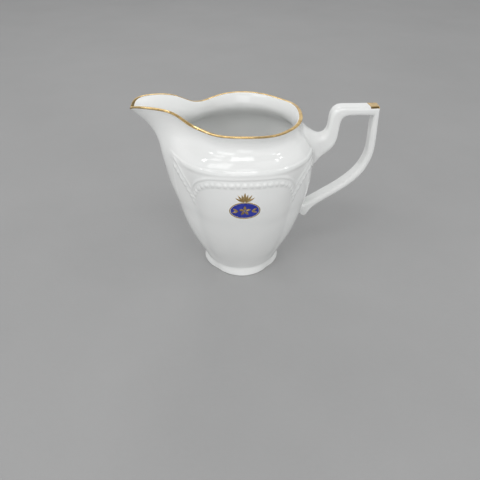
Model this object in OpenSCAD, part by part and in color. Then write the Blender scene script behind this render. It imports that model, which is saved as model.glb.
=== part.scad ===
// Porcelain cream jug: four-lobed cast body with an open lip, a square-shouldered
// loop handle, gilded edges and a small oval enamel badge on the front.
// +Z is up, the jug stands on z = 0, the lip points to -X, the handle to +X,
// and the badge is on the -Y side.

/* [Body] */
// Radius of the foot where it stands, on an axis
foot_r = 23; // [21:0.5:25]
// Height of the foot ring
foot_h = 5.5; // [4.5:0.5:6]
// Depth of the recess under the base
recess_h = 3.5; // [2:0.5:4]
// Thickness of the cast wall
wall = 2.6; // [2:0.1:3]
// Thickness of the body's own floor, above the foot
floor_t = 2; // [1.5:0.5:3]

/* [Lip] */
// How far the lip rises above the rim, at its two side edges
lip_lift = 7.4; // [5:0.2:9]
// How far the tip of the lip dips below those side edges
tip_dip = 3.9; // [2:0.1:5]
// Half angle of the spout, seen from the jug's axis
lip_half_angle = 15; // [12:1:18]
// How far the neck is pinched in, beside the spout
neck_pinch = 3.4; // [0:0.2:4]

// How far the rim rises in the middle of each side, and sinks at the diagonals
rim_wave = 0.45; // [0:0.05:0.6]

/* [Handle] */
// Width of the handle, front to back
handle_w = 8.5; // [7:0.5:11]

/* [Decoration] */
// Thickness of the gold line on the rim
gilding_t = 0.3; // [0.2:0.1:0.5]
// Length of the gold patch on the corner of the handle
patch_l = 5.5; // [3:0.5:7]
// Width of the oval badge
badge_w = 16; // [12:0.5:18]
// Height of the oval badge
badge_h = 10.6; // [8:0.2:12]
// Height of the middle of the badge above the table
badge_z = 58; // [54:1:60]

/* [Hidden] */

porcelain = "#f1f2ef";
gold = "#c99a45";
cobalt = "#26389a";

// ---- Plan of the body -------------------------------------------------------
// One row per ring: height, half width on the axes, squareness of the plan
// (2 is round), depth of the crease on the diagonals.
RINGS = [
    [ 5.5, 21.9, 2.00, 0.010],
    [ 8.5, 23.3, 2.00, 0.020],
    [13.0, 25.4, 2.05, 0.035],
    [19.0, 28.3, 2.10, 0.045],
    [26.0, 31.2, 2.15, 0.055],
    [34.0, 33.8, 2.20, 0.065],
    [42.0, 35.8, 2.25, 0.080],
    [46.5, 36.8, 2.25, 0.085],
    [50.0, 37.6, 2.30, 0.090],
    [54.0, 38.4, 2.30, 0.090],
    [57.0, 38.9, 2.30, 0.090],
    [65.0, 39.3, 2.35, 0.075],
    [72.0, 39.0, 2.40, 0.050],
    [77.0, 38.2, 2.40, 0.020],
    [80.5, 36.7, 2.35, 0.000],
    [84.0, 34.2, 2.25, 0.000],
    [87.0, 32.0, 2.20, 0.010],
    [90.0, 31.0, 2.20, 0.020],
    [94.0, 32.2, 2.28, 0.035]];
LAST = len(RINGS) - 1;
RIM_Z = RINGS[LAST][0];

// The spout's keel comes out of the body, leans out in a straight line up to the
// shoulder, and then curves away into the lip
KEEL_FROM_Z = 48;
KEEL_RUN = 11;        // height over which it comes out of the body
KEEL_R_Z = 72;        // here the line is KEEL_R from the jug's axis
KEEL_R = 43.5;
KEEL_LEAN = 0.19;     // millimetres outwards for each millimetre up
LIP_FLARE_Z = 76;
LIP_FLARE = 11.2;     // how far the lip curves away from the line, at the rim
LIP_POWER = 2.6;

CREASE_HALF = 30;     // half width of a crease, in degrees
LIFT_FROM_Z = 70;     // the rings start to rise towards the lip here
LIFT_ANGLE = 25;      // half width of the rise, in degrees
DIP_ANGLE = 6;        // half width of the dip at the tip, in degrees
PINCH_ANGLE = 43;     // the neck is pinched in on both sides of the spout, here
PINCH_HALF = 30;      // half width of each pinch, in degrees

// Columns round the body: every 5 degrees, and every 2.5 degrees at the spout
SPOUT_FROM = 140;
HALF_COLUMNS = [for (a = [0:5:SPOUT_FROM]) a, for (a = [SPOUT_FROM + 2.5:2.5:180]) a];
HALF = len(HALF_COLUMNS);
COLUMNS = [for (a = HALF_COLUMNS) a, for (i = [HALF - 2:-1:1]) 360 - HALF_COLUMNS[i]];
COUNT = len(COLUMNS);

// The spout's share of the shell: a narrow keel, wide above the shoulder
KEEL_RING = 7;
SHOULDER_RING = 12;
KEEL_HALF_ANGLE = 15;
SPOUT_HALF_ANGLE = 180 - SPOUT_FROM;

function from_spout(a) = abs(a - 180);
function from_diagonal(a) = abs(((a + 90) % 90) - 45);
function squircle(a, n) = pow(pow(abs(cos(a)), n) + pow(abs(sin(a)), n), -1 / n);
function crease(a, depth) = depth * pow(max(0, 1 - from_diagonal(a) / CREASE_HALF), 2);
function plan(a, n, depth) = squircle(a, n) - crease(a, depth);

// Share of the keel's reach at this angle: 1 on the keel, 0 away from the spout
function spout_share(a) = 1 / (1 + pow(from_spout(a) / lip_half_angle, 3.2));
function lift(a) = lip_lift / (1 + pow(from_spout(a) / LIFT_ANGLE, 6))
                   - tip_dip * exp(-pow(from_spout(a) / DIP_ANGLE, 2)) + rim_wave * cos(4 * a);
function pinch(a) = neck_pinch * exp(-pow((from_spout(a) - PINCH_ANGLE) / PINCH_HALF, 2));
function lift_share(z) = pow(max(0, z - LIFT_FROM_Z) / (RIM_Z - LIFT_FROM_Z), 1.5);

function smooth(t) = let (s = min(1, max(0, t))) s * s * (3 - 2 * s);
function keel_line(z) = KEEL_R + KEEL_LEAN * (z - KEEL_R_Z)
    + LIP_FLARE * pow(max(0, z - LIP_FLARE_Z) / (RIM_Z - LIP_FLARE_Z), LIP_POWER);
function reach(k) = RINGS[k][1] + (keel_line(RINGS[k][0]) - RINGS[k][1])
                    * smooth((RINGS[k][0] - KEEL_FROM_Z) / KEEL_RUN);

function radius(k, a) = RINGS[k][1] * plan(a, RINGS[k][2], RINGS[k][3])
                        + (reach(k) - RINGS[k][1]) * spout_share(a)
                        - pinch(a) * lift_share(RINGS[k][0]);
function height(k, a) = RINGS[k][0] + lift(a) * lift_share(RINGS[k][0]);
function outer(k, a, grow = 0) = [(radius(k, a) + grow) * cos(a),
                                  (radius(k, a) + grow) * sin(a), height(k, a)];

// Inner face: the outline of the ring moved in by the wall, square to itself
function inward(k, i) =
    let (before = outer(k, COLUMNS[(i + COUNT - 1) % COUNT]),
         after = outer(k, COLUMNS[(i + 1) % COUNT]),
         along = [after[0] - before[0], after[1] - before[1]])
    [-along[1], along[0]] / norm(along);
FLOOR_Z = foot_h + floor_t;
FLOOR_ROUND = 2.5;    // how far the floor's edge is drawn in, at its corner
SHOULDER_WALL = 2;    // the wall is this much thicker where the shoulder meets the neck
SHOULDER_WALL_Z = 86;
SHOULDER_WALL_HALF = 4.5;
function shoulder_wall(z) = SHOULDER_WALL * exp(-pow((z - SHOULDER_WALL_Z) / SHOULDER_WALL_HALF, 2));
function inset(k, a) = wall + (k == 0 ? FLOOR_ROUND : 0)
                       + shoulder_wall(RINGS[k][0]) * (1 - spout_share(a));
function inner(k, i) =
    let (p = outer(k, COLUMNS[i]), n = inward(k, i), t = inset(k, COLUMNS[i]))
    [p[0] + n[0] * t, p[1] + n[1] * t,
     k == 0 ? FLOOR_Z : max(p[2], FLOOR_Z + 1)];

// ---- Faces of a part of the shell ----------------------------------------
function quad(a, b, c, d) = [[a, b, c], [a, c, d]];
function quad_back(a, b, c, d) = [[a, c, b], [a, d, c]];
function outer_at(k, i) = k * COUNT + (i % COUNT);
function inner_at(k, i) = (LAST + 1 + k) * COUNT + (i % COUNT);
SHELL_POINTS = [
    for (k = [0:LAST]) for (a = COLUMNS) outer(k, a),
    for (k = [0:LAST]) for (i = [0:COUNT - 1]) inner(k, i),
    [0, 0, foot_h], [0, 0, FLOOR_Z]];
BASE_CENTRE = len(SHELL_POINTS) - 2;
FLOOR_CENTRE = len(SHELL_POINTS) - 1;

function in_spout(k, i) =
    let (middle = (COLUMNS[i] + (i + 1 < COUNT ? COLUMNS[i + 1] : 360)) / 2)
    k >= KEEL_RING &&
    from_spout(middle) < (k >= SHOULDER_RING ? SPOUT_HALF_ANGLE : KEEL_HALF_ANGLE);
function belongs(k, i, spout) = k >= 0 && k < LAST && in_spout(k, (i + COUNT) % COUNT) == spout;

// Skin of each cell, and a wall through the thickness wherever the part ends
function shell_faces(spout) = [
    for (k = [0:LAST - 1]) for (i = [0:COUNT - 1]) if (belongs(k, i, spout)) each concat(
        quad_back(outer_at(k, i), outer_at(k, i + 1), outer_at(k + 1, i + 1), outer_at(k + 1, i)),
        quad(inner_at(k, i), inner_at(k, i + 1), inner_at(k + 1, i + 1), inner_at(k + 1, i)),
        belongs(k + 1, i, spout) ? [] :
            quad_back(outer_at(k + 1, i), outer_at(k + 1, i + 1),
                      inner_at(k + 1, i + 1), inner_at(k + 1, i)),
        belongs(k - 1, i, spout) || k == 0 ? [] :
            quad(outer_at(k, i), outer_at(k, i + 1), inner_at(k, i + 1), inner_at(k, i)),
        belongs(k, i + 1, spout) ? [] :
            quad(outer_at(k, i + 1), outer_at(k + 1, i + 1),
                 inner_at(k + 1, i + 1), inner_at(k, i + 1)),
        belongs(k, i - 1, spout) ? [] :
            quad_back(outer_at(k, i), outer_at(k + 1, i), inner_at(k + 1, i), inner_at(k, i)))];

function disc_faces() = [for (i = [0:COUNT - 1]) each [
    [outer_at(0, i), outer_at(0, i + 1), BASE_CENTRE],
    [inner_at(0, i + 1), inner_at(0, i), FLOOR_CENTRE]]];

// Solid wedge of the body's outside, which cuts whatever sits on the body.
// It runs from one column to another, and grow moves its skin outwards.
module body_wedge(first, count, from_k, to_k, grow = 0) {
    rows = to_k - from_k + 1;
    cols = count + 1;
    axis = rows * cols;
    function at(r, c) = r * cols + c;
    points = [
        for (k = [from_k:to_k]) for (c = [0:count])
            outer(k, COLUMNS[(first + c + COUNT) % COUNT], grow),
        for (k = [from_k:to_k]) [0, 0, RINGS[k][0]]];
    faces = [
        for (r = [0:rows - 2]) each concat(
            [for (c = [0:count - 1])
                each quad_back(at(r, c), at(r, c + 1), at(r + 1, c + 1), at(r + 1, c))],
            quad_back(axis + r, at(r, 0), at(r + 1, 0), axis + r + 1),
            quad(axis + r, at(r, count), at(r + 1, count), axis + r + 1)),
        for (c = [0:count - 1]) [at(0, c), at(0, c + 1), axis],
        for (c = [0:count - 1]) [at(rows - 1, c + 1), at(rows - 1, c), axis + rows - 1]];
    polyhedron(points, faces, convexity = 6);
}

// ---- Handle outline, in the XZ plane ----------------------------------------
// Points on the outside and the inside of the loop, joined by smooth curves.
// The two outside curves meet at the sharp corner over the grip.
CORNER = [72.8, 97.6];
RISE = [[29, 88], [34.2, 85.5], [38.6, 82.7], [42, 82], [45.2, 82.7], [46.8, 85.2],
        [47.1, 89], [47.4, 93], [49.4, 96.2], [53, 97.6], [60, 97.6], CORNER];
DROP = [CORNER, [73.1, 90], [73.7, 81], [73.8, 73.5], [72.5, 66], [69.2, 58.5],
        [63.5, 51.8], [55.5, 45.5], [46.2, 39.2], [41.5, 34.8], [39, 30.8], [37.2, 29.3],
        [35.2, 31], [33, 35], [30, 36]];
GRIP_CORNER = [70, 92.6];
INSIDE_LOW = [[34, 36.5], [42.1, 41.6], [50, 46.6], [57.2, 51.6], [63.4, 57.4], [68, 64],
              [70.1, 71], [70.1, 80], [69.9, 86], GRIP_CORNER];
INSIDE_HIGH = [GRIP_CORNER, [64, 92.9], [57, 92.8], [53.8, 91.4], [52.8, 88], [52.6, 82],
               [51.8, 76.6], [48.5, 72.4], [43.5, 68.4], [39.5, 65.3], [33, 61]];

STEPS = 4;            // pieces that each stretch of a curve is drawn with
function clamped(p, i) = p[max(0, min(len(p) - 1, i))];
function through(p, i, t) =
    let (a = clamped(p, i - 1), b = p[i], c = clamped(p, i + 1), d = clamped(p, i + 2))
    b + t / 2 * (c - a) + t * t * (a - 2.5 * b + 2 * c - d / 2)
      + t * t * t * (1.5 * b - a / 2 - 1.5 * c + d / 2);
function curve(p) = [for (i = [0:len(p) - 2]) for (s = [0:STEPS - 1]) through(p, i, s / STEPS)];
HANDLE_OUTLINE = concat(curve(RISE), curve(DROP), [[30, 36]], curve(INSIDE_LOW),
                        curve(INSIDE_HIGH), [[33, 61]]);

module in_handle_plane(depth) {
    rotate([90, 0, 0])
        linear_extrude(depth, center = true) children();
}

// ---- Badge outlines, seen from the front ------------------------------------
OVAL_POINTS = 40;
module oval(w, h) {
    polygon([for (i = [0:OVAL_POINTS - 1])
        let (a = 360 * i / OVAL_POINTS) [w / 2 * cos(a), h / 2 * sin(a)]]);
}
module leaf(l, w) {
    polygon([for (s = [0:8]) [l * s / 8, w / 2 * sin(180 * s / 8)],
             for (s = [7:-1:1]) [l * s / 8, -w / 2 * sin(180 * s / 8)]]);
}

// A flat outline laid on the body's front, between two heights above its skin
BADGE_FIRST = COUNT - 22;     // the column 22 steps of 5 degrees before +X
BADGE_SPAN = 8;               // columns under the badge
BADGE_RINGS = [6, 13];        // the rings below and above the badge
REACH_FROM = 30;              // the outline is carried forward from inside the wall
REACH = 20;
module on_front(z, low, high) {
    intersection() {
        translate([0, -REACH_FROM, z])
            rotate([90, 0, 0])
                linear_extrude(REACH) children();
        difference() {
            body_wedge(BADGE_FIRST, BADGE_SPAN, BADGE_RINGS[0], BADGE_RINGS[1], high);
            body_wedge(BADGE_FIRST, BADGE_SPAN, BADGE_RINGS[0], BADGE_RINGS[1], low);
        }
    }
}

// ---- Sub-parts ---------------------------------------------------------------
module body() {
    color(porcelain)
        polyhedron(SHELL_POINTS, concat(shell_faces(false), disc_faces()), convexity = 8);
}

module spout() {
    color(porcelain)
        polyhedron(SHELL_POINTS, shell_faces(true), convexity = 8);
}

// Round where it meets the body, spreading to four overlapping round lobes where it
// stands, with a round recess under the base
LOBE_OFFSET = 4.6;            // from the jug's axis to the middle of each lobe
FOOT_TOP_R = RINGS[0][1];
FOOT_CORE_R = 21.4;           // the round core, where it stands
RECESS_R = 18.7;
CUT = 1;                      // how far a cut starts outside what it cuts
module lobe() {
    translate([LOBE_OFFSET, 0, 0])
        cylinder(h = foot_h, r1 = foot_r - LOBE_OFFSET, r2 = FOOT_TOP_R - LOBE_OFFSET, $fn = 96);
}
module foot_ring() {
    color(porcelain)
    difference() {
        union() {
            cylinder(h = foot_h, r1 = FOOT_CORE_R, r2 = FOOT_TOP_R, $fn = 96);
            for (q = [0:3]) rotate(90 * q) lobe();
        }
        translate([0, 0, -CUT]) cylinder(h = recess_h + CUT, r = RECESS_R, $fn = 96);
    }
}

HANDLE_SPAN = 8;              // columns of 5 degrees that the handle's roots cover
HANDLE_RING = 2;              // ring below the handle's lower root
module handle() {
    color(porcelain)
    difference() {
        in_handle_plane(handle_w) polygon(HANDLE_OUTLINE);
        body_wedge(-HANDLE_SPAN / 2, HANDLE_SPAN, HANDLE_RING, LAST);
    }
}

module rim_gilding() {
    points = [for (i = [0:COUNT - 1]) let (o = outer(LAST, COLUMNS[i]), n = inner(LAST, i))
        each [o, n, n + [0, 0, gilding_t], o + [0, 0, gilding_t]]];
    faces = [for (i = [0:COUNT - 1]) let (a = 4 * i, b = 4 * ((i + 1) % COUNT))
        each concat(quad(a, b, b + 1, a + 1), quad(a + 1, b + 1, b + 2, a + 2),
                    quad(a + 2, b + 2, b + 3, a + 3), quad(a + 3, b + 3, b, a))];
    color(gold) polyhedron(points, faces, convexity = 8);
}

module handle_gilding() {
    color(gold)
        translate([CORNER[0] - patch_l, -handle_w / 2, CORNER[1]])
            cube([patch_l, handle_w, gilding_t]);
}

BORDER_W = 0.6;
GROUND_T = 0.25;
TOP_T = 0.45;
module badge_ground() {
    color(cobalt)
        on_front(badge_z, 0, GROUND_T) oval(badge_w - 2 * BORDER_W, badge_h - 2 * BORDER_W);
}

module badge_border() {
    color(gold)
        on_front(badge_z, 0, TOP_T) difference() {
            oval(badge_w, badge_h);
            oval(badge_w - 2 * BORDER_W, badge_h - 2 * BORDER_W);
        }
}

// Generic five-petalled flower with a leaf on each side
PETALS = 5;
module badge_rosette() {
    color(gold)
        on_front(badge_z, GROUND_T, TOP_T) {
            for (p = [0:PETALS - 1]) rotate(90 + 360 / PETALS * p) leaf(2.9, 1.7);
            for (side = [0, 180]) rotate(side) translate([3.2, 0]) leaf(3, 1.3);
        }
}

// Generic sprig lying over the badge: a bud between two pairs of leaves
SPRIG_Z = 7.6;                // height of the sprig above the middle of the badge
module badge_sprig() {
    color(gold)
        on_front(badge_z + SPRIG_Z, 0, TOP_T) {
            circle(r = 0.9, $fn = 24);
            for (side = [0, 1]) mirror([side, 0]) {
                rotate(12) leaf(4.8, 1.2);
                rotate(52) leaf(2.6, 1.1);
            }
        }
}

body();
spout();
foot_ring();
handle();
rim_gilding();
handle_gilding();
badge_ground();
badge_border();
badge_rosette();
badge_sprig();
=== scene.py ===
"""Porcelain cream jug: its detailed surfaces, materials, light and camera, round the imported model.

Shapes are worked out in millimetres, in the model's own frame (+Z up, lip to -X, handle to +X,
badge on the -Y side), and written to meshes in metres.
"""
import math

import bpy
import numpy as np
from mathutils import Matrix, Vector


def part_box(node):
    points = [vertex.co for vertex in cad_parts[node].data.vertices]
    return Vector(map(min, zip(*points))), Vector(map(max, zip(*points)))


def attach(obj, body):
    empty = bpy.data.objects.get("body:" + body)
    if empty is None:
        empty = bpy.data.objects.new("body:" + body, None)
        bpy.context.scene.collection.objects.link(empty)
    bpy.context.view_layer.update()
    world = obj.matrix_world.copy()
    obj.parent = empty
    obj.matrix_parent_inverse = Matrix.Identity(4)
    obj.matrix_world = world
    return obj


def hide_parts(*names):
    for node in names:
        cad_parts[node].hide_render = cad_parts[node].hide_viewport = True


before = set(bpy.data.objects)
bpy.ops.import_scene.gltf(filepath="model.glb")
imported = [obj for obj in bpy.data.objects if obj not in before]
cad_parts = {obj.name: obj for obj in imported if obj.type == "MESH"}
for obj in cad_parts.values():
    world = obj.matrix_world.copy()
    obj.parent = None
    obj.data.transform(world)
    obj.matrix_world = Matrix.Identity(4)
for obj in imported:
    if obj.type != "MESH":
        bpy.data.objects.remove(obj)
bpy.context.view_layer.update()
MM = 0.001
BODY = "root"


# ---- Small helpers on numbers --------------------------------------------------------------

def step(x):
    """Smooth rise from 0 to 1 while x goes from 0 to 1."""
    x = np.clip(x, 0, 1)
    return x * x * (3 - 2 * x)


def bell(x):
    return np.exp(-np.square(x))


def spline(x, y, at):
    """Natural cubic spline through the points (x, y), read at the given places."""
    n = len(x)
    h = np.diff(x)
    left, right = np.eye(n), np.zeros(n)
    for i in range(1, n - 1):
        left[i, i - 1:i + 2] = h[i - 1], 2 * (h[i - 1] + h[i]), h[i]
        right[i] = 6 * ((y[i + 1] - y[i]) / h[i] - (y[i] - y[i - 1]) / h[i - 1])
    bend = np.linalg.solve(left, right)
    k = np.clip(np.searchsorted(x, at) - 1, 0, n - 2)
    a, b = x[k + 1] - at, at - x[k]
    return ((bend[k] * a ** 3 + bend[k + 1] * b ** 3) / (6 * h[k])
            + (y[k] / h[k] - bend[k] * h[k] / 6) * a
            + (y[k + 1] / h[k] - bend[k + 1] * h[k] / 6) * b)


def soften(values, sigma):
    """Gaussian smoothing along the first axis, straight on past both ends."""
    half = int(math.ceil(4 * sigma))
    kernel = bell(np.arange(-half, half + 1) / (sigma * math.sqrt(2)))
    kernel /= kernel.sum()
    before = 2 * values[:1] - values[half:0:-1]
    after = 2 * values[-1:] - values[-2:-half - 2:-1]
    padded = np.concatenate([before, values, after])
    return sum(w * padded[i:i + len(values)] for i, w in enumerate(kernel))


def unit(v):
    return v / np.maximum(np.linalg.norm(v, axis=-1, keepdims=True), 1e-12)


def through(points, pieces):
    """Catmull-Rom curve through rows of numbers, with so many pieces on each stretch."""
    p = np.array(points, float)
    p = np.concatenate([2 * p[:1] - p[1:2], p, 2 * p[-1:] - p[-2:-1]])
    rows = []
    for i in range(1, len(p) - 2):
        a, b, c, d = p[i - 1:i + 3]
        for t in np.arange(pieces) / pieces:
            rows.append(b + t / 2 * (c - a) + t * t * (a - 2.5 * b + 2 * c - d / 2)
                        + t ** 3 * (1.5 * b - a / 2 - 1.5 * c + d / 2))
    rows.append(p[-2])
    return np.array(rows)


# ---- Plan and profile of the body ------------------------------------------------------------
# One row per ring: height, half width on the axes, squareness of the plan
# (2 is round), depth of the crease on the diagonals.
RINGS = np.array([
    [ 5.5, 21.9, 2.00, 0.010],
    [ 8.5, 23.3, 2.00, 0.020],
    [13.0, 25.4, 2.05, 0.035],
    [19.0, 28.3, 2.10, 0.045],
    [26.0, 31.2, 2.15, 0.055],
    [34.0, 33.8, 2.20, 0.065],
    [42.0, 35.8, 2.25, 0.080],
    [46.5, 36.8, 2.25, 0.085],
    [50.0, 37.6, 2.30, 0.090],
    [54.0, 38.4, 2.30, 0.090],
    [57.0, 38.9, 2.30, 0.090],
    [65.0, 39.3, 2.35, 0.075],
    [72.0, 39.0, 2.40, 0.050],
    [77.0, 38.2, 2.40, 0.020],
    [80.5, 36.7, 2.35, 0.000],
    [84.0, 34.2, 2.25, 0.000],
    [87.0, 32.0, 2.20, 0.010],
    [90.0, 31.0, 2.20, 0.020],
    [94.0, 32.2, 2.28, 0.035]])
BASE_Z, RIM_Z = RINGS[0, 0], RINGS[-1, 0]
WALL = 2.6
SHOULDER_WALL, SHOULDER_WALL_Z, SHOULDER_WALL_HALF = 2.6, 84, 5
FLOOR_Z = 7.5
LIP_LIFT, TIP_DIP, LIP_HALF_ANGLE, RIM_WAVE = 7.4, 3.9, 15, 0.45
NECK_PINCH, PINCH_ANGLE, PINCH_HALF = 3.4, 43, 30
LIFT_FROM_Z, LIFT_ANGLE, DIP_ANGLE = 70, 25, 6
LIFT_POWER, LIFT_SOFT = 1.5, 15   # how the rise towards the lip grows, and its smoothing
LIFT_EDGE, LIP_FADE = 6, 3.2      # how sharply the rise and the lip end sideways
CREASE_HALF, CREASE_ROUND = 30, 5

# The keel: where it starts, its run out of the body, its straight line, and the lip's curve
KEEL_FROM_Z, KEEL_RUN = 48, 11
KEEL_R_Z, KEEL_R, KEEL_LEAN = 72, 43.5, 0.19
LIP_FLARE_Z, LIP_FLARE, LIP_POWER = 76, 11.2, 2.6


def keel_reach(z, half):
    """Distance of the spout's keel from the axis, where the body's half width is half."""
    line = (KEEL_R + KEEL_LEAN * (z - KEEL_R_Z)
            + LIP_FLARE * (np.maximum(0, z - LIP_FLARE_Z) / (RIM_Z - LIP_FLARE_Z)) ** LIP_POWER)
    return half + (line - half) * step((z - KEEL_FROM_Z) / KEEL_RUN)


FINE_Z = np.arange(BASE_Z, RIM_Z + 0.05, 0.1)
PROFILE_SOFT = 10             # smoothing of the profile, in steps of FINE_Z
fine_half, fine_square, fine_depth = (spline(RINGS[:, 0], RINGS[:, k], FINE_Z) for k in (1, 2, 3))
PROFILE = [soften(p, PROFILE_SOFT)
           for p in (fine_half, keel_reach(FINE_Z, fine_half), fine_square, fine_depth)]
LIFT_SHARE = soften((np.maximum(0, FINE_Z - LIFT_FROM_Z) / (RIM_Z - LIFT_FROM_Z)) ** LIFT_POWER,
                    LIFT_SOFT)


def from_spout(a):
    """Degrees from the spout's keel."""
    return np.abs((a % 360) - 180)


def from_diagonal(a, rounding):
    """Degrees from the nearest diagonal, with the sharp change at 0 rounded off."""
    off = np.abs((a + 90) % 90 - 45)
    return np.sqrt(off ** 2 + rounding ** 2) - rounding


def squircle(a, n):
    """Radius of a squared circle of half width 1; n is 2 for a plain circle."""
    c, s = np.abs(np.cos(np.radians(a))), np.abs(np.sin(np.radians(a)))
    return (c ** n + s ** n) ** (-1 / n)


def plan(a, n, depth):
    """Outline of a four-lobed ring of half width 1, at the angle a."""
    share = np.maximum(0, 1 - from_diagonal(a, CREASE_ROUND) / CREASE_HALF)
    return squircle(a, n) - depth * share ** 2


def skin(z, a):
    """Radius and height of the body's plain outside, on the ring z at the angle a."""
    half, reach, square, depth = (np.interp(z, FINE_Z, p) for p in PROFILE)
    share = np.interp(z, FINE_Z, LIFT_SHARE)
    off = from_spout(a)
    radius = (half * plan(a, square, depth)
              + (reach - half) / (1 + (off / LIP_HALF_ANGLE) ** LIP_FADE)
              - NECK_PINCH * bell((off - PINCH_ANGLE) / PINCH_HALF) * share)
    lift = (LIP_LIFT / (1 + (off / LIFT_ANGLE) ** LIFT_EDGE) - TIP_DIP * bell(off / DIP_ANGLE)
            + RIM_WAVE * np.cos(np.radians(4 * a)))
    return radius, z + lift * share


# ---- Moulded relief: bead rows, grooves and the shoulder's edge ------------------------------
PANEL_HALF = 31.3             # from the middle of a panel to the diagonal, along the skin
BEAD_ROW = [[0, 72.1], [8, 72.1], [15, 71.9], [19.5, 71.0], [23.5, 68.8], [26.5, 65.7],
            [29, 61.8], [31.3, 57.5]]
BEAD_STEP = 3.26              # from one bead to the next
BEAD_H, BEAD_FULLNESS = 0.42, 0.7
BEAD_PAST_END = 0.2           # the beads run on this far past the end of the row's line
OLIVE, PEARL = (1.8, 1.15), (1.25, 1.25)   # half length and half width of the two kinds of bead
PENDANT, PENDANT_HALF = (PANEL_HALF, 56.7), (1.3, 2.1)
SPOUT_FLANK, FLANK_FADE = 25, 2.5   # the rows stop this many degrees from the spout's keel
ROW_RISE, RISE_FROM, RISE_RUN = 2.6, 45, 18   # the rows rise towards the spout; degrees from it
ROWS_FROM_Z, ROWS_TO_Z = 45, 78.4

# What runs beside the bead row: its height or depth, and how far outwards from the row it is
GROOVE, GROOVE_D = 0.15, 2.35
RIDGE, RIDGE_D = 0.22, 3.35
LINE_HALF, LINE_FROM_Z, LINE_RUN = 0.5, 54, 4
PANEL_SINK, PANEL_D, PANEL_SOFT = 0.14, 1.2, 0.8
PANEL_FROM_Z, PANEL_RUN, PANEL_SIDE = 50, 9, 4
SPANDREL, SPANDREL_D, SPANDREL_SOFT = 0.20, 4.0, 0.8
SPANDREL_TOP_Z, SPANDREL_RUN = 77.4, 1.4

# The ledge at the shoulder's edge and the hollow of the neck: height, where it starts and over
# what height it grows, where it ends and over what height it fades
LEDGE, LEDGE_Z, LEDGE_RUN, LEDGE_TOP_Z, LEDGE_FADE = 0.45, 74.8, 3.0, 78.6, 0.95
NECK, NECK_Z, NECK_RUN, NECK_TOP_Z, NECK_FADE = 0.40, 83.4, 1.6, 86, 4
LEDGE_FLANK, LEDGE_FLANK_RUN = 16, 12

# Distance along a panel's skin, at each tenth of a degree from its middle
PANEL_SQUARE = 2.35
panel_angles = np.linspace(0, 45, 451)
panel_r = squircle(panel_angles, PANEL_SQUARE)
panel_arc = np.concatenate([[0], np.cumsum(np.hypot(
    np.diff(panel_r * np.cos(np.radians(panel_angles))),
    np.diff(panel_r * np.sin(np.radians(panel_angles)))))])
PANEL_ARC = panel_arc * PANEL_HALF / panel_arc[-1]
ROW_LINE = through(BEAD_ROW, 40)


def dome(x, y, half):
    """Height of a bead of these half sizes at (x, y) from its middle."""
    q = (x / half[0]) ** 2 + (y / half[1]) ** 2
    return BEAD_H * np.maximum(0, 1 - q) ** BEAD_FULLNESS


def relief(z, a):
    """Height of the moulding over the plain skin, in millimetres."""
    off_axis = np.abs((a + 45) % 90 - 45)
    u = np.interp(off_axis, panel_angles, PANEL_ARC)
    flank = from_spout(a)
    rise = ROW_RISE * step((RISE_FROM - flank) / RISE_RUN) * (u < PANEL_HALF)
    v = z - rise
    # nearest place on the bead row: s along it from the panel's middle, d outwards from it
    along = np.concatenate([[0], np.cumsum(np.hypot(*np.diff(ROW_LINE, axis=0).T))])
    tangent = unit(np.gradient(ROW_LINE, axis=0))
    s, d = np.zeros(u.shape), np.zeros(u.shape)
    for i in np.ndindex(u.shape[0]):
        to = np.stack([u[i][:, None] - ROW_LINE[:, 0], v[i][:, None] - ROW_LINE[:, 1]], -1)
        near = np.argmin((to ** 2).sum(-1), 1)
        take = to[np.arange(len(near)), near]
        t = tangent[near]
        s[i] = along[near] + (take * t).sum(-1)
        d[i] = take[:, 1] * t[:, 0] - take[:, 0] * t[:, 1]

    beyond = s > along[-1] + BEAD_PAST_END
    olive = dome((s + BEAD_STEP) % (2 * BEAD_STEP) - BEAD_STEP, d, OLIVE)
    pearl = dome(s % (2 * BEAD_STEP) - BEAD_STEP, d, PEARL)
    beads = np.where(beyond, 0, np.maximum(olive, pearl))
    beads = np.maximum(beads, dome(u - PENDANT[0], v - PENDANT[1], PENDANT_HALF))
    beside = np.where(beyond, 0, 1) * step((z - LINE_FROM_Z) / LINE_RUN)
    groove = -GROOVE * bell((d - GROOVE_D) / LINE_HALF) * beside
    ridge = RIDGE * bell((d - RIDGE_D) / LINE_HALF) * beside
    panel = (-PANEL_SINK * step((-PANEL_D - d) / PANEL_SOFT) * step((z - PANEL_FROM_Z) / PANEL_RUN)
             * step((PANEL_SIDE + PANEL_HALF - u) / PANEL_SIDE))
    spandrel = (-SPANDREL * step((d - SPANDREL_D) / SPANDREL_SOFT)
                * step((SPANDREL_TOP_Z - v) / SPANDREL_RUN))
    rows = (beads + groove + ridge + panel + spandrel) * step((flank - SPOUT_FLANK) / FLANK_FADE)
    ledge = LEDGE * step((z - LEDGE_Z) / LEDGE_RUN) * (1 - step((z - LEDGE_TOP_Z) / LEDGE_FADE))
    neck = -NECK * step((z - NECK_Z) / NECK_RUN) * (1 - step((z - NECK_TOP_Z) / NECK_FADE))
    return (rows * (z < ROWS_TO_Z) * (z > ROWS_FROM_Z)
            + (ledge + neck) * step((flank - LEDGE_FLANK) / LEDGE_FLANK_RUN))


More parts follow.
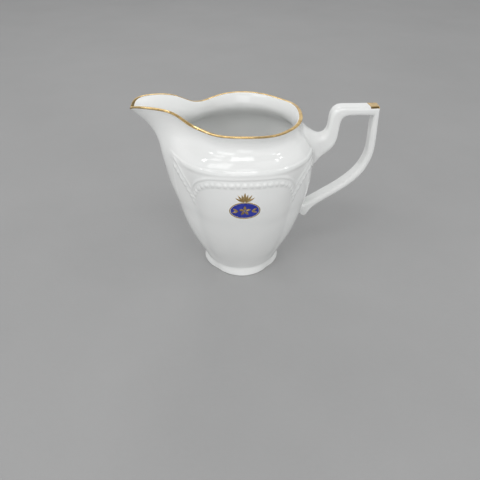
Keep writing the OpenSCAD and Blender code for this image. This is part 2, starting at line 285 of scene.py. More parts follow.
# ---- The shell: one grid of rows and columns, from the base over the lip to the floor -------
COLUMNS = 576
ANGLES = np.arange(COLUMNS) * 360 / COLUMNS
INNER_EVERY = 3               # the inside has one row for so many rows outside
KEEL_Z, KEEL_HALF_ANGLE = 46.5, 15
SHOULDER_Z, SPOUT_HALF_ANGLE = 72, 40
LIP_FROM_Z = 91.2
LIP_STEP, LIP_EARLY = 0.12, 2.4   # spacing of the lip's rows, and how far below they start
LIP_ACROSS = 17               # rows across the lip's top
LIP_SOFT, LIP_BLEND, LIP_RAISE = 4.2, 10, 0.2
LIP_THIN, LIP_THIN_Z, LIP_THIN_RUN = 0.3, 87, 6
FLOOR_CORNER = 6.0            # radius of the floor's edge
FLOOR_EDGE = np.array([0.8, 0.25, 0])   # heights of the last rows over the floor
FLOOR_RINGS = (0.9, 0.75, 0.5, 0.25, 0.06)   # shares of the floor's radius
# stretches of rows: from, to, number of rows
STRETCHES = [(BASE_Z, 9, 6), (9, KEEL_Z, 21), (KEEL_Z, 56, 6), (56, SHOULDER_Z, 36),
             (SHOULDER_Z, 77.7, 12), (77.7, 78.6, 3), (78.6, 79.8, 9), (79.8, LIP_FROM_Z, 18)]
ROW_Z = np.concatenate([np.linspace(lo, hi, n, endpoint=False) for lo, hi, n in STRETCHES]
                       + [[LIP_FROM_Z]])


def polar(radius, a, z):
    t = np.radians(a)
    return np.stack(np.broadcast_arrays(radius * np.cos(t), radius * np.sin(t), z), -1)


def inward(rows):
    """Level unit vectors pointing into the jug, square to each row's outline."""
    along = np.roll(rows, -1, axis=1) - np.roll(rows, 1, axis=1)
    return unit(np.stack([-along[..., 1], along[..., 0], np.zeros(along.shape[:2])], -1))


def plain_rows(z):
    """Rows of the body's plain outside, at the rings z."""
    radius, height = skin(z[:, None], ANGLES[None, :])
    return polar(radius, ANGLES[None, :], height)


def inside_rows(z):
    """Rows of the cavity's skin, at the rings z."""
    rows = plain_rows(z)
    up = np.clip((FLOOR_Z + FLOOR_CORNER - z) / FLOOR_CORNER, 0, 1)
    inset = (WALL - LIP_THIN * step((z - LIP_THIN_Z) / LIP_THIN_RUN)
             + FLOOR_CORNER * (1 - np.sqrt(1 - up ** 2)))
    extra = SHOULDER_WALL * bell((z - SHOULDER_WALL_Z) / SHOULDER_WALL_HALF)
    share = 1 / (1 + (from_spout(ANGLES) / LIP_HALF_ANGLE) ** LIP_FADE)
    inset = inset[:, None] + extra[:, None] * (1 - share)
    inner = rows + inward(rows) * inset[..., None]
    inner[..., 2] = np.maximum(inner[..., 2], FLOOR_Z)
    return inner


def lip_rows():
    """The rounded lip, from the outside over the crest to the inside, and where its crest is."""
    z = np.arange(LIP_FROM_Z - LIP_EARLY, RIM_Z, LIP_STEP)
    z = np.append(z, RIM_Z)
    outer, inner = plain_rows(z), inside_rows(z)
    across = np.linspace(0, 1, LIP_ACROSS + 2)[1:-1, None, None]
    top = outer[-1] * (1 - across) + inner[-1] * across
    line = np.concatenate([outer, top, inner[::-1]])
    smooth = soften(line, LIP_SOFT)
    first = int(np.argmin(np.abs(z - LIP_FROM_Z)))
    last = len(line) - 1 - first
    # the smoothing lowers the crest a little, so the lip is lifted back
    crown = slice(len(z) - 1, len(z) + LIP_ACROSS)
    lost = line[crown, :, 2].max(0) - smooth[crown, :, 2].max(0)
    place = np.arange(len(line))
    share = step((place - first) / LIP_BLEND) * step((last - place) / LIP_BLEND)
    smooth[..., 2] += share[:, None] * (lost + LIP_RAISE)
    return smooth[first:last + 1], len(z) + LIP_ACROSS // 2 - first


outside = plain_rows(ROW_Z)
bump = relief(np.broadcast_to(ROW_Z[:, None], outside.shape[:2]),
              np.broadcast_to(ANGLES[None, :], outside.shape[:2]))
outside = outside - inward(outside) * bump[..., None]
lip, crest = lip_rows()
LIP_EVERY = 2                 # the shell takes one of so many of the lip's rows
INNER_Z = ROW_Z[::-1][INNER_EVERY::INNER_EVERY]
INNER_Z = np.append(INNER_Z[INNER_Z > FLOOR_Z + FLOOR_EDGE[0]], FLOOR_Z + FLOOR_EDGE)
inside = inside_rows(INNER_Z)
floor_rows = np.stack([inside[-1] * [k, k, 1] for k in FLOOR_RINGS])
lip_part = lip[LIP_EVERY:-1:LIP_EVERY]
shell = np.concatenate([outside, lip_part, inside, floor_rows])
OUTER_ROWS, LIP_ROWS = len(ROW_Z), len(lip_part)
ring_z = np.concatenate([ROW_Z, np.full(LIP_ROWS, RIM_Z), INNER_Z, np.zeros(len(floor_rows))])


# ---- Foot: its own profile on the same columns -----------------------------------------------
# radius, height, share of the four lobes in its outline
FOOT_PROFILE = [
    [21.9, 5.5, 0], [21.95, 4.9, 0.1], [22.2, 4.0, 0.3], [22.6, 2.8, 0.6], [22.95, 1.6, 0.9],
    [23.08, 0.9, 1], [22.98, 0.35, 1], [22.6, 0.04, 1], [22.3, 0.0, 0.9], [21.2, 0.0, 0.5],
    [20.2, 0.0, 0.2], [19.6, 0.03, 0], [19.2, 0.35, 0], [19.0, 1.2, 0], [18.8, 2.5, 0],
    [18.4, 3.2, 0], [17.6, 3.5, 0], [15.0, 3.55, 0], [9.0, 3.6, 0], [1.0, 3.6, 0]]
LOBE_OFFSET, LOBED_R = 4.6, 23
LOBE_ROUND = 4                # rounding between two lobes, in degrees


def foot_rows():
    profile = through(FOOT_PROFILE, 3)
    turn = np.radians(45 - from_diagonal(ANGLES, LOBE_ROUND))
    lobed = (LOBE_OFFSET * np.cos(turn) + np.sqrt((LOBED_R - LOBE_OFFSET) ** 2
                                                  - (LOBE_OFFSET * np.sin(turn)) ** 2)) / LOBED_R
    radius = profile[:, :1] * (1 - profile[:, 2:] * (1 - lobed))
    return polar(radius, ANGLES[None, :], np.maximum(profile[:, 1:2], 0))


# ---- Writing meshes -----------------------------------------------------------------------------

def make(name, points, faces, material, nodes, normals=None):
    """A mesh piece that rides on the jug, stands for CAD nodes and takes one material."""
    mesh = bpy.data.meshes.new(name)
    mesh.from_pydata(np.asarray(points) * MM, [], faces)
    mesh.update()
    mesh.materials.append(material)
    mesh.polygons.foreach_set("use_smooth", np.ones(len(mesh.polygons), bool))
    if normals is not None:
        mesh.normals_split_custom_set_from_vertices(normals)
    piece = bpy.data.objects.new(name, mesh)
    bpy.context.scene.collection.objects.link(piece)
    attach(piece, BODY)
    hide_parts(*nodes)
    return piece


def grid_normals(rows):
    """Vertex normals of a grid that closes on itself along its columns; they point outwards."""
    along = np.roll(rows, -1, axis=1) - np.roll(rows, 1, axis=1)
    up = np.gradient(rows, axis=0)
    return unit(np.cross(along, up))


def band(a, b, columns):
    """Faces between two closed rows, whose points start at a and at b."""
    c = np.arange(columns)
    n = (c + 1) % columns
    return np.stack([a + c, a + n, b + n, b + c], 1).tolist()


def grid_faces(rows, columns, start=0):
    faces = []
    for r in range(rows - 1):
        faces += band(start + r * columns, start + (r + 1) * columns, columns)
    return faces


def closed_grid(name, rows, material, nodes, normals=None):
    """A piece from rows of points, closed by a face at each end."""
    count, columns = rows.shape[:2]
    faces = grid_faces(count, columns)
    faces.append(list(range(columns))[::-1])
    faces.append([(count - 1) * columns + i for i in range(columns)])
    return make(name, rows.reshape(-1, 3), faces, material, nodes, normals)


def in_spout(z, a):
    off = from_spout(a)
    return ((z > KEEL_Z) & (off < KEEL_HALF_ANGLE)) | ((z > SHOULDER_Z) & (off < SPOUT_HALF_ANGLE))


def shell_pieces(material):
    """The body and the spout, which share the shell along the seam of the CAD solids."""
    count = len(shell)
    normals = grid_normals(shell)
    normals[-len(floor_rows):] = (0, 0, 1)
    normals[0] = unit(normals[0] + foot_normals[0])
    mid_z = (ring_z[:-1] + ring_z[1:]) / 2
    mid_z[OUTER_ROWS - 1:OUTER_ROWS + LIP_ROWS] = RIM_Z
    mid_a = ANGLES + 180 / COLUMNS
    spout_cell = in_spout(mid_z[:, None], mid_a[None, :])

    def at(r, c):
        return r * COLUMNS + c % COLUMNS

    points = np.concatenate([shell.reshape(-1, 3), [[0, 0, FLOOR_Z], [0, 0, BASE_Z]]])
    all_normals = np.concatenate([normals.reshape(-1, 3), [[0, 0, 1], [0, 0, -1]]])
    floor_centre, base_centre = len(points) - 2, len(points) - 1
    faces = {False: [], True: []}
    for r in range(count - 1):
        for c in range(COLUMNS):
            cell = [at(r, c), at(r, c + 1), at(r + 1, c + 1), at(r + 1, c)]
            faces[bool(spout_cell[r, c])].append(cell)
    for c in range(COLUMNS):
        faces[False].append([at(count - 1, c), at(count - 1, c + 1), floor_centre])
        faces[False].append([at(0, c + 1), at(0, c), base_centre])

    # seam walls through the thickness: level ones, then upright ones
    outer_row = {z: int(np.argmin(np.abs(ROW_Z - z))) for z in (KEEL_Z, SHOULDER_Z)}
    inner_first = OUTER_ROWS + LIP_ROWS
    inner_row = {z: inner_first + int(np.argmin(np.abs(INNER_Z - z))) for z in (KEEL_Z, SHOULDER_Z)}

    def wall(corners):
        faces[True].append(corners)
        faces[False].append(corners[::-1])

    def column(a):
        return int(round(a * COLUMNS / 360))

    for z, spans in ((KEEL_Z, [(-KEEL_HALF_ANGLE, KEEL_HALF_ANGLE)]),
                     (SHOULDER_Z, [(-SPOUT_HALF_ANGLE, -KEEL_HALF_ANGLE),
                                   (KEEL_HALF_ANGLE, SPOUT_HALF_ANGLE)])):
        o, i = outer_row[z], inner_row[z]
        for lo, hi in spans:
            for c in range(column(180 + lo), column(180 + hi)):
                wall([at(o, c + 1), at(o, c), at(i, c), at(i, c + 1)])
    for side in (-1, 1):
        for half, lo, hi in ((KEEL_HALF_ANGLE, KEEL_Z, SHOULDER_Z),
                             (SPOUT_HALF_ANGLE, SHOULDER_Z, None)):
            c = column(180 + side * half)
            rows_out = list(range(outer_row[lo], (outer_row[hi] if hi else OUTER_ROWS - 1) + 1))
            rows_in = list(range(inner_row[hi] if hi else inner_first, inner_row[lo] + 1))
            pairs = list(zip(rows_out[::INNER_EVERY], rows_out[INNER_EVERY::INNER_EVERY],
                             rows_in[::-1], rows_in[-2::-1]))
            for o0, o1, i0, i1 in pairs:
                ring = [at(r, c) for r in range(o0, o1 + 1)] + [at(i1, c), at(i0, c)]
                wall(ring if side > 0 else ring[::-1])
            if not hi:
                ring = [at(r, c) for r in range(pairs[-1][1], pairs[-1][3] + 1)]
                wall(ring if side > 0 else ring[::-1])

    for name, is_spout in (("jug_body", False), ("jug_spout", True)):
        used = np.unique(np.concatenate([np.array(f) for f in faces[is_spout]]))
        place = np.zeros(len(points), int)
        place[used] = np.arange(len(used))
        own = [[int(place[v]) for v in f] for f in faces[is_spout]]
        make(name, points[used], own, material, ["spout" if is_spout else "body"],
             all_normals[used])


# ---- Handle: a loft between the outside and the inside of its loop --------------------------
# outside x, z, inside x, z, width, radius of the long edges
HANDLE = [
    [28.0, 89.0, 30.5, 58.0, 14.0, 5.0], [31.4, 87.0, 34.5, 61.5, 12.6, 4.6],
    [34.4, 85.3, 38.0, 64.2, 11.2, 4.2], [38.4, 83.1, 41.5, 66.7, 10.0, 3.8],
    [41.8, 82.1, 45.0, 69.4, 9.0, 3.4], [44.6, 82.6, 48.2, 72.1, 8.6, 3.0],
    [46.4, 84.7, 50.7, 75.4, 8.5, 2.5], [47.0, 87.6, 52.0, 79.0, 8.5, 2.3],
    [47.2, 90.6, 52.5, 83.2, 8.5, 2.2], [47.6, 93.2, 52.8, 87.2, 8.5, 2.1],
    [48.8, 95.6, 53.4, 90.2, 8.5, 2.0], [50.8, 97.1, 54.8, 92.0, 8.5, 1.9],
    [53.4, 97.6, 56.6, 92.8, 8.5, 1.8], [57.0, 97.6, 59.4, 92.9, 8.5, 1.8],
    [61.5, 97.6, 62.8, 92.9, 8.5, 1.8], [66.0, 97.6, 66.0, 92.8, 8.5, 1.8],
    [69.6, 97.6, 68.3, 92.7, 8.5, 1.8], [72.0, 97.58, 69.6, 92.65, 8.5, 1.8],
    [72.6, 97.4, 69.9, 92.5, 8.5, 1.8], [72.82, 96.8, 70.0, 92.2, 8.5, 1.8],
    [72.95, 94.4, 70.0, 90.2, 8.5, 1.8], [73.1, 90.4, 69.9, 86.8, 8.5, 1.8],
    [73.45, 84.6, 70.0, 82.0, 8.5, 1.8], [73.75, 78.6, 70.1, 76.8, 8.5, 1.8],
    [73.7, 72.6, 70.0, 71.6, 8.5, 1.8], [72.6, 66.4, 68.9, 66.6, 8.5, 1.8],
    [69.5, 59.0, 66.0, 60.8, 8.5, 1.8], [64.4, 52.7, 61.2, 55.2, 8.5, 1.8],
    [57.4, 46.9, 54.9, 50.0, 8.5, 1.8], [50.0, 41.8, 48.0, 45.4, 8.4, 1.8],
    [45.4, 38.5, 43.0, 42.2, 8.3, 1.8], [42.2, 35.6, 39.2, 39.8, 8.2, 1.8],
    [40.2, 32.7, 37.0, 38.5, 7.9, 1.8], [39.0, 30.7, 35.8, 37.9, 7.4, 1.3],
    [37.9, 29.6, 34.8, 37.5, 6.6, 1.4], [36.4, 30.0, 33.8, 37.1, 5.8, 1.5],
    [34.6, 32.2, 32.8, 36.6, 5.0, 1.2], [33.0, 34.4, 31.8, 36.0, 3.6, 0.7]]
CORNER_POINTS = 6             # along each rounded long edge
FLAT_POINTS = 5               # along each flat side
ROUNDEST = 0.93               # the edge's radius stays under this share of half the thickness


def section(width, depth, radius):
    """Rounded rectangle: across the handle, and from its outside (+) to its inside (-)."""
    w, h = width / 2, depth / 2
    r = min(radius, ROUNDEST * min(w, h))
    points = []
    for cx, cy, start in ((w - r, h - r, 0), (r - w, h - r, 90),
                          (r - w, r - h, 180), (w - r, r - h, 270)):
        for k in range(CORNER_POINTS):
            t = math.radians(start + 90 * k / (CORNER_POINTS - 1))
            points.append((cx + r * math.cos(t), cy + r * math.sin(t)))
        last = points[-1]
        nxt = {0: (r - w, h), 90: (-w, r - h), 180: (w - r, -h), 270: (w, h - r)}[start]
        for k in range(1, FLAT_POINTS + 1):
            t = k / (FLAT_POINTS + 1)
            points.append((last[0] + (nxt[0] - last[0]) * t, last[1] + (nxt[1] - last[1]) * t))
    return np.array(points)


HANDLE_PIECES = 5             # rows on each stretch of the loft
ROOT_FLARE, ROOT_REACH, ROOT_BLEND, ROOT_DEPTH = 2.2, 5.0, 1.8, 0.9
SHOULDER_FLARE, SHOULDER_REACH = 3.6, 2   # more flare, where the upper root meets the shoulder
FLARE_WAYS = [0, 1, 0.3]      # the roots flare sideways, and less upwards and downwards
UPPER_FROM_Z, UPPER_RUN = 55, 15


def handle_rows():
    rows = []
    for ox, oz, ix, iz, width, radius in through(HANDLE, HANDLE_PIECES):
        out, inn = np.array([ox, oz]), np.array([ix, iz])
        middle, to_out = (out + inn) / 2, out - inn
        depth = np.linalg.norm(to_out)
        shape = section(width, depth, radius)
        plane = middle + shape[:, 1:] * (to_out / depth)
        rows.append(np.stack([plane[:, 0], shape[:, 0], plane[:, 1]], 1))
    return np.array(rows)


def gap_to_body(points):
    """How far outside the body's skin each point is, measured level from the axis."""
    a = np.degrees(np.arctan2(points[..., 1], points[..., 0]))
    radius, _ = skin(np.clip(points[..., 2], BASE_Z, RIM_Z), a)
    return np.hypot(points[..., 0], points[..., 1]) - radius


def body_normals(points):
    """The body's own normals beside each point."""
    shift = 0.2
    slope = [gap_to_body(points + shift * axis) - gap_to_body(points - shift * axis)
             for axis in np.eye(3)]
    return unit(np.stack(slope, -1))


def handle_surface():
    """The loft with its roots flared into the body, and normals that flow into the body's."""
    rows = handle_rows()
    ways = grid_normals(rows) * FLARE_WAYS
    gap = gap_to_body(rows)
    upper = step((rows[..., 2] - UPPER_FROM_Z) / UPPER_RUN)
    near = np.clip(1 - gap / (ROOT_REACH + SHOULDER_REACH * upper), 0, 1)
    flare = (ROOT_FLARE + SHOULDER_FLARE * upper) * near ** 2
    rows = rows + ways * flare[..., None]
    normals = grid_normals(rows)
    gap = gap_to_body(rows)
    own = step(gap / ROOT_BLEND)[..., None]
    normals = unit(normals * own + body_normals(rows) * (1 - own))
    # nothing comes out inside the jug
    deep = np.minimum(0, gap + ROOT_DEPTH)
    rows[..., :2] -= deep[..., None] * unit(rows[..., :2])
    return rows, normals


# ---- Badge: flat outlines laid on the front -----------------------------------------------------
BADGE_Z = 57.8
BADGE_W, BADGE_H = 16.0, 10.7
BORDER = 0.55
FRONT_FROM, FRONT_TO = -130.0, -50.0   # the badge lies between these angles
HALVINGS = 40
NEAR = 0.3                    # distance to the neighbours that a slope is worked out from
PLATE_LOW, PLATE_EDGE = -0.05, 0.12


def on_front(x, z, lift):
    """Places on the body's front, that far in front of its skin, for outline points (x, z)."""
    lo, hi = np.full(x.shape, FRONT_FROM), np.full(x.shape, FRONT_TO)
    for _ in range(HALVINGS):
        a = (lo + hi) / 2
        right = skin(z, a)[0] * np.cos(np.radians(a)) > x
        hi, lo = np.where(right, a, hi), np.where(right, lo, a)
    a = (lo + hi) / 2
    base = front_point(z, a)
    east = front_point(z, a + NEAR) - front_point(z, a - NEAR)
    up = front_point(z + NEAR, a) - front_point(z - NEAR, a)
    return base + unit(np.cross(east, up)) * lift


def front_point(z, a):
    """The moulded skin at the ring z and the angle a."""
    radius, height = skin(z, a)
    return polar(radius + relief(z[None], a[None])[0], a, height)


def plate(outline, centre, high):
    """Closed plate on the front between two closed outlines, with a rounded upper edge.

    Both outlines have the same number of points; the inner one may shrink to a line."""
    outline, centre = np.asarray(outline, float), np.asarray(centre, float)
    edge, brink = high - PLATE_EDGE, high - PLATE_EDGE * 0.3
    rings = []
    for share, lift in ((0.0, PLATE_LOW), (0.0, edge), (0.04, brink), (0.12, high), (0.35, high),
                        (0.65, high), (0.88, high), (0.96, brink), (1.0, edge), (1.0, PLATE_LOW)):
        p = outline * (1 - share) + centre * share
        rings.append(on_front(p[:, 0], p[:, 1], lift))
    return np.array(rings)


def oval(width, height, z, count=96):
    t = np.linspace(0, 2 * math.pi, count, endpoint=False)
    return np.stack([width / 2 * np.cos(t), z + height / 2 * np.sin(t)], 1)


def leaf(root, angle, length, width, bend=0.0, count=14):
    """Outline of a pointed leaf or petal and its middle line, as a pair of closed outlines."""
    t = np.linspace(0, 1, count)
    turn = math.radians(angle) + bend * t
    step_x, step_y = np.cos(turn), np.sin(turn)
    x = root[0] + length / (count - 1) * np.concatenate([[0], np.cumsum(step_x[1:])])
    y = root[1] + length / (count - 1) * np.concatenate([[0], np.cumsum(step_y[1:])])
    half = width / 2 * np.sin(math.pi * t ** 0.8)
    left = np.stack([x - half * step_y, y + half * step_x], 1)
    right = np.stack([x + half * step_y, y - half * step_x], 1)
    middle = np.stack([x, y], 1)
    return np.concatenate([left, right[-2:0:-1]]), np.concatenate([middle, middle[-2:0:-1]])


# ---- Materials ------------------------------------------------------------------------------------

def new_material(name):
    material = bpy.data.materials.new(name)
    material.use_nodes = True
    nodes, links = material.node_tree.nodes, material.node_tree.links
    shader = next(n for n in nodes if n.type == "BSDF_PRINCIPLED")
    place = nodes.new("ShaderNodeTexCoord")
    return material, nodes, links, shader, place.outputs["Object"]


def noise(nodes, links, place, scale, detail=3.0, rough=0.5):
    n = nodes.new("ShaderNodeTexNoise")
    n.inputs["Scale"].default_value = scale
    n.inputs["Detail"].default_value = detail
    n.inputs["Roughness"].default_value = rough
    links.new(place, n.inputs["Vector"])
    return n.outputs["Fac"]


def ramp(nodes, links, source, stops):
    r = nodes.new("ShaderNodeValToRGB")
    while len(r.color_ramp.elements) < len(stops):
        r.color_ramp.elements.new(0.5)
    for element, (at, colour) in zip(r.color_ramp.elements, stops):
        element.position = at
        element.color = (*colour, 1)
    links.new(source, r.inputs["Fac"])
    return r.outputs["Color"]


def spread(nodes, links, source, low, high, to_low, to_high):
    m = nodes.new("ShaderNodeMapRange")
    for key, value in (("From Min", low), ("From Max", high), ("To Min", to_low), ("To Max", to_high)):
        m.inputs[key].default_value = value
    links.new(source, m.inputs["Value"])
    return m.outputs["Result"]


def bump_map(nodes, links, shader, heights):
    """Chains bumps: each a height output with its depth in metres."""
    last = None
    for height, depth in heights:
        b = nodes.new("ShaderNodeBump")
        b.inputs["Distance"].default_value = depth
        b.inputs["Strength"].default_value = 1.0
        links.new(height, b.inputs["Height"])
        if last:
            links.new(last, b.inputs["Normal"])
        last = b.outputs["Normal"]
    links.new(last, shader.inputs["Normal"])


# Sockets of a Mix node: its two numbers and their result, its two colours and theirs
NUMBER_A, NUMBER_B, NUMBER_OUT = 2, 3, 0
COLOUR_A, COLOUR_B, COLOUR_OUT = 6, 7, 2


def glaze_material():
    material, nodes, links, shader, place = new_material("white_glaze")
    cloud = noise(nodes, links, place, 45, 3)
    tint = ramp(nodes, links, cloud, [(0.30, (0.835, 0.845, 0.835)), (0.70, (0.865, 0.870, 0.858))])
    # bare, matt biscuit where the foot stands
    split = nodes.new("ShaderNodeSeparateXYZ")
    links.new(place, split.inputs["Vector"])
    bare = spread(nodes, links, split.outputs["Z"], 0.00025, 0.0001, 0, 1)
    mix = nodes.new("ShaderNodeMix")
    mix.data_type = "RGBA"
    links.new(bare, mix.inputs["Factor"])
    links.new(tint, mix.inputs[COLOUR_A])
    grit = noise(nodes, links, place, 900, 4)
    biscuit = ramp(nodes, links, grit, [(0.35, (0.70, 0.67, 0.62)), (0.65, (0.80, 0.78, 0.74))])
    links.new(biscuit, mix.inputs[COLOUR_B])
    links.new(mix.outputs[COLOUR_OUT], shader.inputs["Base Color"])
    sheen = spread(nodes, links, noise(nodes, links, place, 160, 4), 0.35, 0.7, 0.06, 0.11)
    rough = nodes.new("ShaderNodeMix")
    links.new(bare, rough.inputs["Factor"])
    links.new(sheen, rough.inputs[NUMBER_A])
    rough.inputs[NUMBER_B].default_value = 0.65
    links.new(rough.outputs[NUMBER_OUT], shader.inputs["Roughness"])
    shader.inputs["IOR"].default_value = 1.52
    bump_map(nodes, links, shader, [(noise(nodes, links, place, 70, 2), 0.00010),
                                    (noise(nodes, links, place, 900, 2), 0.000004)])
    return material


def gold_material():
    material, nodes, links, shader, place = new_material("fired_gold")
    cloud = noise(nodes, links, place, 260, 4, 0.6)
    tint = ramp(nodes, links, cloud, [(0.30, (0.42, 0.28, 0.11)), (0.55, (0.62, 0.44, 0.19)),
                                      (0.75, (0.80, 0.64, 0.38))])
    links.new(tint, shader.inputs["Base Color"])
    shader.inputs["Metallic"].default_value = 1.0
    links.new(spread(nodes, links, noise(nodes, links, place, 700, 4, 0.6), 0.3, 0.7, 0.07, 0.16),
              shader.inputs["Roughness"])
    bump_map(nodes, links, shader, [(noise(nodes, links, place, 260, 2), 0.00003)])
    return material


def enamel_material():
    material, nodes, links, shader, place = new_material("cobalt_enamel")
    cloud = noise(nodes, links, place, 500, 3)
    tint = ramp(nodes, links, cloud, [(0.3, (0.016, 0.026, 0.26)), (0.7, (0.030, 0.045, 0.38))])
    links.new(tint, shader.inputs["Base Color"])
    links.new(spread(nodes, links, noise(nodes, links, place, 900, 2), 0.3, 0.7, 0.14, 0.26),
              shader.inputs["Roughness"])
    bump_map(nodes, links, shader, [(noise(nodes, links, place, 1200, 2), 0.000008)])
    return material


def floor_material():
    material, nodes, links, shader, place = new_material("pale_floor")
    cloud = noise(nodes, links, place, 9, 5, 0.6)
    tint = ramp(nodes, links, cloud, [(0.3, (0.370, 0.370, 0.370)), (0.7, (0.395, 0.395, 0.395))])
    links.new(tint, shader.inputs["Base Color"])
    shader.inputs["Roughness"].default_value = 0.7
    bump_map(nodes, links, shader, [(noise(nodes, links, place, 500, 3), 0.0001)])
    return material


# ---- Building the pieces ------------------------------------------------------------------------
glaze, gold, enamel = glaze_material(), gold_material(), enamel_material()

foot = foot_rows()
foot_normals = -grid_normals(foot)
foot_normals[-1] = (0, 0, -1)
joined = grid_normals(shell)[0]
shell_pieces(glaze)
foot_normals[0] = unit(joined + foot_normals[0])
closed_grid("jug_foot_ring", foot[::-1], glaze, ["foot_ring"],
            foot_normals[::-1].reshape(-1, 3))

loft, loft_normals = handle_surface()
closed_grid("jug_handle", loft, glaze, ["handle"], loft_normals.reshape(-1, 3))


def gilded_rim():
    """A thin gold shell over the lip's crest and its outer half."""
    inside_crest, outside_down = 8, 14
    rows = lip[crest - outside_down:crest + inside_crest + 1]
    normals = grid_normals(lip)[crest - outside_down:crest + inside_crest + 1]
    raised, sunk = 0.07, 0.06
    height = np.full(len(rows), raised)
    height[[0, -1]] = 0.0
    top = rows + normals * height[:, None, None]
    under = rows[::-1] - normals[::-1] * sunk
    loop = np.concatenate([top, under])
    count = len(loop)
    faces = []
    for r in range(count):
        faces += band(r * COLUMNS, (r + 1) % count * COLUMNS, COLUMNS)
    return make("rim_gold_line", loop.reshape(-1, 3), faces, gold, ["rim_gilding"])


gilded_rim()


PATCH_FROM_Z = 97.3
PATCH_RAISED, PATCH_SUNK = 0.06, 0.05
SKEW, SKEW_SHIFT = 0.5, -0.2  # the patch's first edge is slanted, so it starts further out in front
HALF_GRIP = 4.2


def gilded_corner():
    """A thin gold shell on the top of the handle's corner."""
    rows = handle_rows()
    normals = grid_normals(rows)
    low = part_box("handle_gilding")[0].x / MM
    # rows of the loft whose outside lies over the patch
    stations = through(HANDLE, HANDLE_PIECES)
    on = [i for i, s in enumerate(stations) if s[0] > low and s[1] > PATCH_FROM_Z]
    # the columns over the top, from part-way down one rounded edge to part-way down the other
    first = 2
    last = 2 * CORNER_POINTS + FLAT_POINTS - 2
    patch = rows[on][:, first:last]
    normal = normals[on][:, first:last]
    patch[0, :, 0] += SKEW * (SKEW_SHIFT - patch[0, :, 1] / HALF_GRIP)
    top = patch + normal * PATCH_RAISED
    under = patch - normal * PATCH_SUNK
    r, c = patch.shape[:2]

    def at(k, i, j):
        return k * r * c + i * c + j

    faces = []
    for i in range(r - 1):
        for j in range(c - 1):
            faces.append([at(0, i, j), at(0, i, j + 1), at(0, i + 1, j + 1), at(0, i + 1, j)])
            faces.append([at(1, i, j + 1), at(1, i, j), at(1, i + 1, j), at(1, i + 1, j + 1)])
    for i in range(r - 1):
        faces.append([at(0, i + 1, 0), at(1, i + 1, 0), at(1, i, 0), at(0, i, 0)])
        faces.append([at(0, i, c - 1), at(1, i, c - 1), at(1, i + 1, c - 1), at(0, i + 1, c - 1)])
    for j in range(c - 1):
        faces.append([at(0, 0, j), at(1, 0, j), at(1, 0, j + 1), at(0, 0, j + 1)])
        faces.append([at(0, r - 1, j + 1), at(1, r - 1, j + 1), at(1, r - 1, j), at(0, r - 1, j)])
    points = np.concatenate([top.reshape(-1, 3), under.reshape(-1, 3)])
    all_normals = np.concatenate([normal.reshape(-1, 3), normal.reshape(-1, 3)])
    return make("handle_gold_patch", points, faces, gold, ["handle_gilding"], all_normals)


gilded_corner()


def plates(name, shapes, high, material, nodes):
    """One piece from several plates on the front."""
    points, faces = [], []
    for outline, middle in shapes:
        rings = plate(outline, middle, high)
        count, columns = rings.shape[:2]
        start = sum(len(p) for p in points)
        points.append(rings.reshape(-1, 3))
        faces += grid_faces(count, columns, start)
        faces += band(start + (count - 1) * columns, start, columns)
    return make(name, np.concatenate(points), faces, material, nodes)


inner_w, inner_h = BADGE_W - 2 * BORDER, BADGE_H - 2 * BORDER
plates("badge_enamel", [(oval(inner_w + 0.1, inner_h + 0.1, BADGE_Z), oval(0.02, 0.02, BADGE_Z))],
       0.06, enamel, ["badge_ground"])
plates("badge_gold_border", [(oval(BADGE_W, BADGE_H, BADGE_Z), oval(inner_w, inner_h, BADGE_Z))],
       0.10, gold, ["badge_border"])
PETAL_START = 0.35            # the petals start this far from the flower's middle
petals = []
for turn in range(90, 450, 72):
    start_x = PETAL_START * math.cos(math.radians(turn))
    start_z = BADGE_Z + PETAL_START * math.sin(math.radians(turn))
    petals.append(leaf((start_x, start_z), turn, 2.9, 1.5))
sides = [leaf((side * 3.4, BADGE_Z - 0.2), 90 - side * (90 - lean), 3.4, 1.1, bend=side * 0.3)
         for side in (-1, 1) for lean in (24, -24)]
plates("badge_gold_flower", petals + sides, 0.12, gold, ["badge_rosette"])
SPRIG_Z = 63.3
sprig = [leaf((0, SPRIG_Z), 90, 5.3, 1.6)]
for side in (-1, 1):
    for lean, length in ((28, 4.6), (52, 5.2), (74, 5.3)):
        sprig.append(leaf((side * 0.3, SPRIG_Z), 90 - side * lean, length, 1.1, bend=side * 0.4))
plates("badge_gold_sprig", sprig, 0.10, gold, ["badge_sprig"])


# ---- Floor, light and camera -------------------------------------------------------------------

def floor():
    size = 4.0
    mesh = bpy.data.meshes.new("floor")
    mesh.from_pydata([(-size, -size, 0), (size, -size, 0), (size, size, 0), (-size, size, 0)], [],
                     [(0, 1, 2, 3)])
    mesh.materials.append(floor_material())
    sheet = bpy.data.objects.new("floor", mesh)
    bpy.context.scene.collection.objects.link(sheet)


def area_light(name, at, target, size, watts):
    data = bpy.data.lights.new(name, "AREA")
    data.shape = "RECTANGLE"
    data.size, data.size_y = size
    data.energy = watts
    lamp = bpy.data.objects.new(name, data)
    bpy.context.scene.collection.objects.link(lamp)
    lamp.location = at
    to = np.array(target) - np.array(at)
    lamp.rotation_euler = Vector(to).to_track_quat("-Z", "Y").to_euler()


# Tones of the surroundings, from the horizon up: share of the way to the zenith, and colour
SURROUNDINGS = [(0.0, (0.69, 0.695, 0.70)), (0.45, (1.04, 1.045, 1.05)), (0.9, (0.25, 0.25, 0.25))]
LIGHTS_AWAY, LIGHTS_AIM = 0.8, (0.0, 0.0, 0.06)
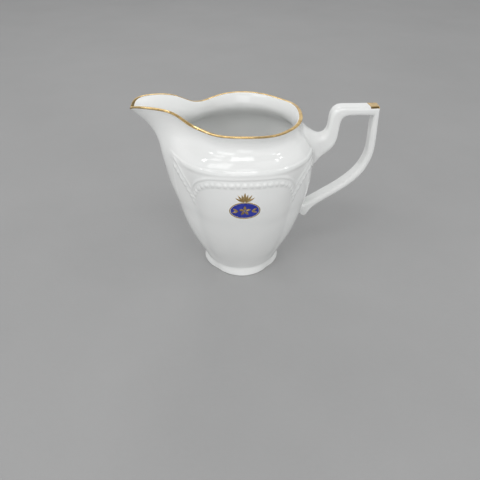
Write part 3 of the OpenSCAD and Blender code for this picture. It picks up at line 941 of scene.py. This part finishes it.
# name, bearing and height in degrees, width and height in metres, watts
LIGHTS = [
    ("key", -94, 62, (0.34, 0.16), 0.72), ("front", -90, 20, (0.30, 0.30), 0.50),
    ("front_left", -128, 42, (0.45, 0.16), 0.66), ("front_right", -52, 42, (0.45, 0.16), 0.14),
    ("left_low", -152, 56, (0.22, 0.10), 0.22), ("left_high", -168, 48, (0.06, 0.06), 0.15),
    ("right_low", -28, 45, (0.06, 0.06), 0.15), ("right_high", -12, 48, (0.06, 0.06), 0.20),
    ("back", 97, 38, (0.32, 0.13), 0.45)]


def light():
    world = bpy.data.worlds.new("studio")
    world.use_nodes = True
    nodes, links = world.node_tree.nodes, world.node_tree.links
    background = next(n for n in nodes if n.type == "BACKGROUND")
    place = nodes.new("ShaderNodeTexCoord")
    split = nodes.new("ShaderNodeSeparateXYZ")
    links.new(place.outputs["Generated"], split.inputs["Vector"])
    tint = ramp(nodes, links, split.outputs["Z"], SURROUNDINGS)
    links.new(tint, background.inputs["Color"])
    background.inputs["Strength"].default_value = 1.0
    bpy.context.scene.world = world
    for name, bearing, high, size, watts in LIGHTS:
        turn, rise = math.radians(bearing), math.radians(high)
        at = (LIGHTS_AWAY * math.cos(rise) * math.cos(turn),
              LIGHTS_AWAY * math.cos(rise) * math.sin(turn),
              LIGHTS_AIM[2] + LIGHTS_AWAY * math.sin(rise))
        area_light(name, at, LIGHTS_AIM, size, watts)


# The camera's place, and the way it looks further down, were worked out outside this script from
# a camera 243.6 mm away and 192.5 mm high, which looks down by 36.8 degrees and is turned by 2.5
CAMERA_AT = (-0.0114, -0.2433, 0.1925)


def camera():
    data = bpy.data.cameras.new("camera")
    data.sensor_width = 36
    data.lens = 36
    data.clip_start = 0.01
    view = bpy.data.objects.new("camera", data)
    bpy.context.scene.collection.objects.link(view)
    view.location = CAMERA_AT
    view.rotation_euler = Vector((0.0349, 0.7999, -0.5990)).to_track_quat("-Z", "Y").to_euler()
    bpy.context.scene.camera = view


floor()
light()
camera()
bpy.context.scene.view_settings.view_transform = "Standard"
